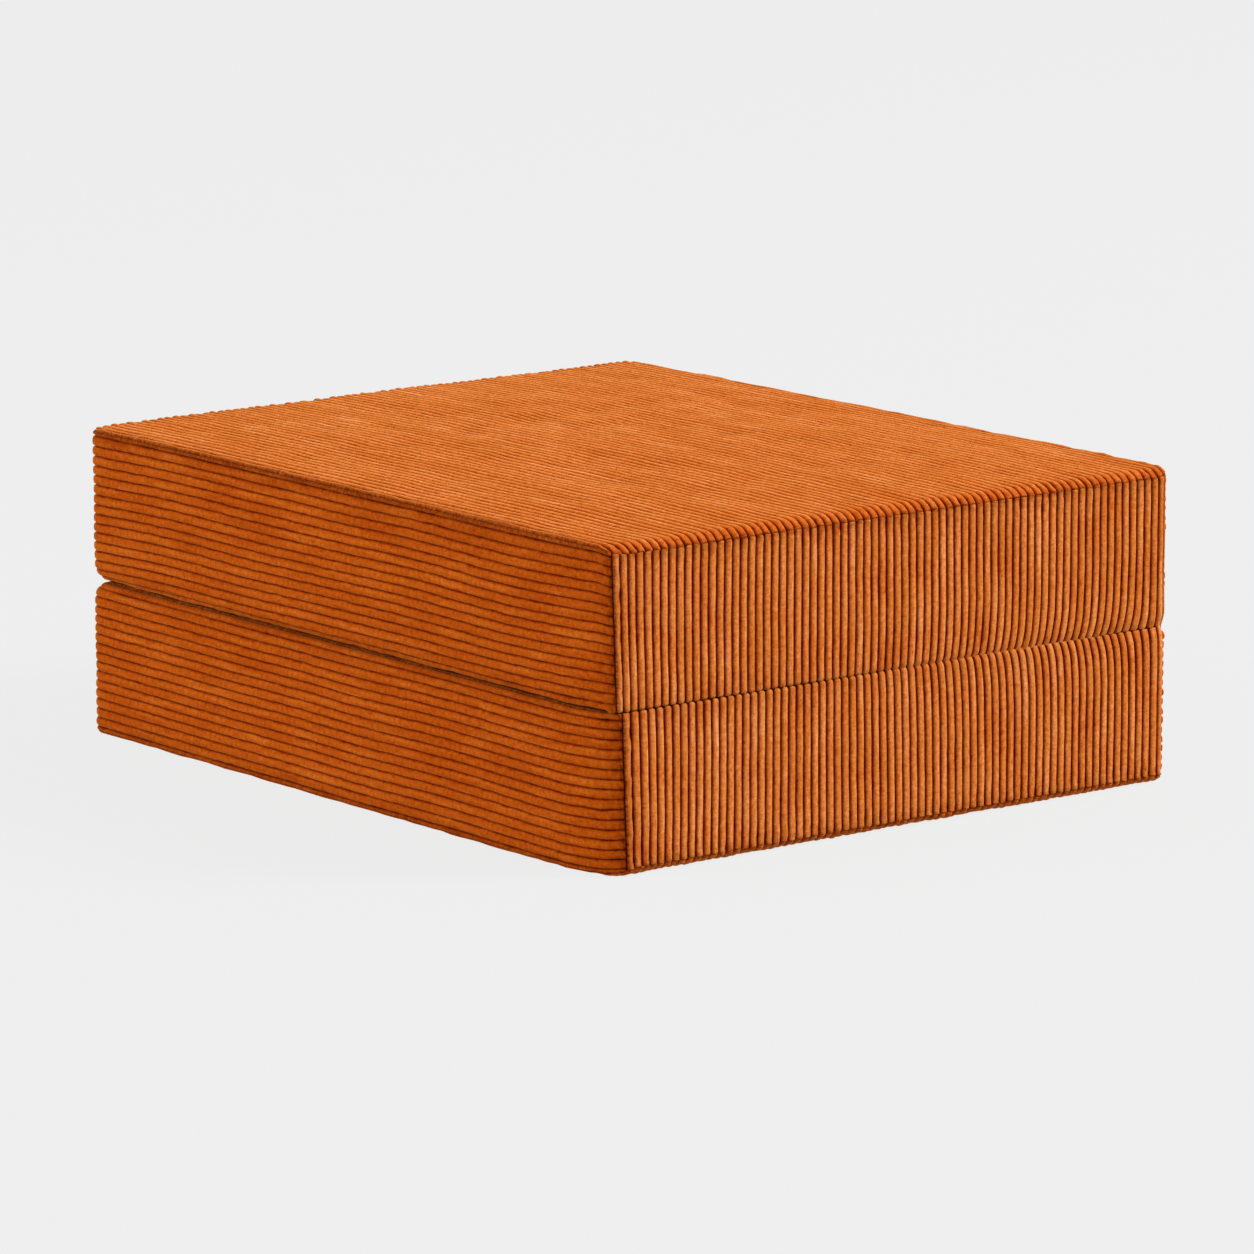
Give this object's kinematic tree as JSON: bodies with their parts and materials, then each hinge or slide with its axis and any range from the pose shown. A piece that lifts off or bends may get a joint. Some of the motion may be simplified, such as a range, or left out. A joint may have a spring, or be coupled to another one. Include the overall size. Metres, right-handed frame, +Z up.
{
  "type": "folding futon mattress",
  "caption": "Bi-fold foam floor mattress in wide-wale corduroy, shown folded: boxed panels joined along one short side, each with a zipped cover.",
  "frame": {"origin": "on the floor under the centre of the folded mattress's bounding box", "axes": "+Z up from the floor; +X along the mattress towards the fold, so the zippers are at -X; +Y across it"},
  "size_m": [0.8714, 0.712, 0.3176],
  "materials": {
    "corduroy": "matte",
    "liner_knit": "matte",
    "support_foam": "matte",
    "comfort_foam": "matte",
    "zipper_tape": "matte",
    "zipper_nylon": "satin",
    "zipper_metal": "satin"
  },
  "bodies": {
    "lower_panel": {"lower_outer_sheet": "corduroy", "lower_inner_sheet": "corduroy", "lower_hinge_face": "corduroy", "lower_left_side_band": "corduroy", "lower_right_side_band": "corduroy", "lower_back_band_outer_half": "corduroy", "lower_back_band_inner_half": "corduroy", "lower_inner_liner": "liner_knit", "lower_support_foam": "support_foam", "lower_comfort_foam": "comfort_foam", "lower_zipper_tape_outer": "zipper_tape", "lower_zipper_tape_inner": "zipper_tape", "lower_zipper_teeth_outer": "zipper_nylon", "lower_zipper_teeth_inner": "zipper_nylon", "lower_zipper_top_stop": "zipper_metal", "lower_zipper_bottom_stop": "zipper_metal", "fold_hinge_tape": "zipper_tape"},
    "upper_panel": {"upper_outer_sheet": "corduroy", "upper_inner_sheet": "corduroy", "upper_hinge_face": "corduroy", "upper_left_side_band": "corduroy", "upper_right_side_band": "corduroy", "upper_back_band_outer_half": "corduroy", "upper_back_band_inner_half": "corduroy", "upper_inner_liner": "liner_knit", "upper_support_foam": "support_foam", "upper_comfort_foam": "comfort_foam", "upper_zipper_tape_outer": "zipper_tape", "upper_zipper_tape_inner": "zipper_tape", "upper_zipper_teeth_outer": "zipper_nylon", "upper_zipper_teeth_inner": "zipper_nylon", "upper_zipper_top_stop": "zipper_metal", "upper_zipper_bottom_stop": "zipper_metal"},
    "lower_slider": {"lower_zipper_slider": "zipper_metal"},
    "upper_slider": {"upper_zipper_slider": "zipper_metal"},
    "lower_pull": {"lower_zipper_pull": "zipper_metal"},
    "upper_pull": {"upper_zipper_pull": "zipper_metal"}
  },
  "joints": [
    {"name": "fold_hinge", "type": "hinge", "parent": "lower_panel", "child": "upper_panel", "pos_m": [0.4365, 0, 0.1588], "axis": [0, 1, 0], "range_deg": [0, 180]},
    {"name": "lower_slider_travel", "type": "slide", "parent": "lower_panel", "child": "lower_slider", "axis": [0, 1, 0], "range_m": [-0.57, 0]},
    {"name": "upper_slider_travel", "type": "slide", "parent": "upper_panel", "child": "upper_slider", "axis": [0, -1, 0], "range_m": [-0.57, 0]},
    {"name": "lower_pull_swing", "type": "hinge", "parent": "lower_slider", "child": "lower_pull", "pos_m": [-0.43355, 0.284, 0.079], "axis": [0, 0, -1], "range_deg": [0, 180]},
    {"name": "upper_pull_swing", "type": "hinge", "parent": "upper_slider", "child": "upper_pull", "pos_m": [-0.43355, -0.284, 0.2386], "axis": [0, 0, 1], "range_deg": [0, 180]}
  ]
}
